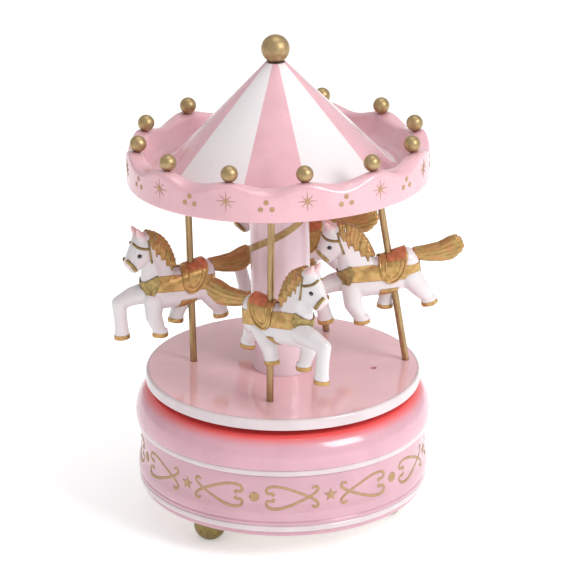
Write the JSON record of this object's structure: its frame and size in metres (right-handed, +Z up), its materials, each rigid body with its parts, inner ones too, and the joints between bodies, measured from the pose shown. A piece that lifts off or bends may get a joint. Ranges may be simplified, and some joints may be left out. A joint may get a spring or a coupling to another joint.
{
  "type": "carousel music box",
  "caption": "Wind-up music box: a round footed base turns a deck with a column, horses on poles and a striped conical canopy with balls round its brim.",
  "frame": {"origin": "on the carousel's turning axis, level with the undersides of the feet", "axes": "+Z up along the turning axis; -Y towards the side seen from the front; +X to the right from there"},
  "size_m": [0.1204, 0.1035, 0.1709],
  "materials": {
    "base_pink": "satin gloss lilac pink lacquer",
    "trim_white": "gloss white lacquer",
    "deck_pink": "gloss pink",
    "column_pink": "satin pale pink",
    "canopy_pink": "satin pink with off-white stripes",
    "gold_paint": "satin antique gold",
    "gold_foil": "gold foil",
    "pole_brass": "antique brass",
    "horse_white": "white with gold harness, mane, tail and hooves",
    "inner_board": "matt",
    "movement_brass": "machined",
    "movement_steel": "machined",
    "cast_frame": "cast, zinc coloured"
  },
  "bodies": {
    "base": {"base_body": "base_pink", "base_shoulder": "base_pink", "upper_trim_ring": "trim_white", "lower_trim_ring": "trim_white", "base_plate": "inner_board", "plate_screws": "movement_steel", "foot_1": "gold_paint", "foot_2": "gold_paint", "foot_3": "gold_paint", "foot_screws": "movement_steel", "movement_bedplate": "cast_frame", "movement_screws": "movement_steel", "spring_barrel": "movement_brass", "mainspring": "movement_steel", "comb_rest": "cast_frame", "comb": "movement_steel", "comb_screws": "movement_steel", "cylinder_bearings": "cast_frame", "governor_frame": "cast_frame", "deck_bearing_bush": "movement_brass"},
    "carousel": {"winding_key": "movement_brass", "winding_arbor": "movement_steel", "great_wheel": "movement_brass", "drive_hub": "movement_brass", "deck_disc": "deck_pink", "deck_rim": "trim_white", "column": "column_pink", "column_ribbon": "gold_foil", "tie_rod": "movement_steel", "canopy_ceiling": "column_pink", "canopy_roof": "canopy_pink", "finial_ball": "gold_paint", "rim_ball_01": "gold_paint", "rim_ball_02": "gold_paint", "rim_ball_03": "gold_paint", "rim_ball_04": "gold_paint", "rim_ball_05": "gold_paint", "rim_ball_06": "gold_paint", "rim_ball_07": "gold_paint", "rim_ball_08": "gold_paint", "rim_ball_09": "gold_paint", "rim_ball_10": "gold_paint", "rim_ball_11": "gold_paint", "rim_ball_12": "gold_paint"},
    "rider_front": {"pole_front": "pole_brass", "horse_front": "horse_white"},
    "rider_right": {"pole_right": "pole_brass", "horse_right": "horse_white"},
    "rider_back": {"pole_back": "pole_brass", "horse_back": "horse_white"},
    "rider_left": {"pole_left": "pole_brass", "horse_left": "horse_white"},
    "cylinder": {"cylinder_arbor": "movement_steel", "cylinder_drum": "movement_brass", "cylinder_pins": "movement_steel", "cylinder_gear": "movement_brass"},
    "governor_wheel": {"governor_axle": "movement_steel", "worm_wheel": "movement_brass"},
    "governor": {"governor_worm": "movement_steel", "air_brake": "movement_steel"}
  },
  "joints": [
    {"name": "carousel_spin", "type": "hinge", "parent": "base", "child": "carousel", "pos_m": [0, 0, 0.05], "axis": [0, 0, 1], "continuous": true},
    {"name": "rider_front_swivel", "type": "hinge", "parent": "carousel", "child": "rider_front", "pos_m": [-0.00434, -0.0309, 0.05023], "axis": [0.0083, 0, 1], "range_deg": [-30, 30]},
    {"name": "rider_right_swivel", "type": "hinge", "parent": "carousel", "child": "rider_right", "pos_m": [0.04266, 0.00541, 0.05244], "axis": [-0.1569, -0.1032, 0.9822], "range_deg": [-22, 0]},
    {"name": "rider_back_swivel", "type": "hinge", "parent": "carousel", "child": "rider_back", "pos_m": [0.0154, 0.0318, 0.05243], "axis": [-0.1801, -0.0092, 0.9836], "range_deg": [-20, 12]},
    {"name": "rider_left_swivel", "type": "hinge", "parent": "carousel", "child": "rider_left", "pos_m": [-0.0309, 0.00434, 0.05025], "axis": [-0.0235, 0, 0.9997], "range_deg": [-12, 14]},
    {"name": "cylinder_spin", "type": "hinge", "parent": "base", "child": "cylinder", "pos_m": [0.03, 0, 0.03539], "axis": [1, 0, 0], "continuous": true},
    {"name": "governor_wheel_spin", "type": "hinge", "parent": "base", "child": "governor_wheel", "pos_m": [0.0384, 0.008, 0.03539], "axis": [1, 0, 0], "continuous": true},
    {"name": "governor_spin", "type": "hinge", "parent": "base", "child": "governor", "pos_m": [0.0384, 0.0142, 0.03539], "axis": [0, 0, 1], "continuous": true}
  ],
  "couplings": [
    {"joint": "cylinder_spin", "follows": "carousel_spin", "ratio": 3.5},
    {"joint": "governor_wheel_spin", "follows": "carousel_spin", "ratio": -10.5},
    {"joint": "governor_spin", "follows": "carousel_spin", "ratio": 252}
  ]
}
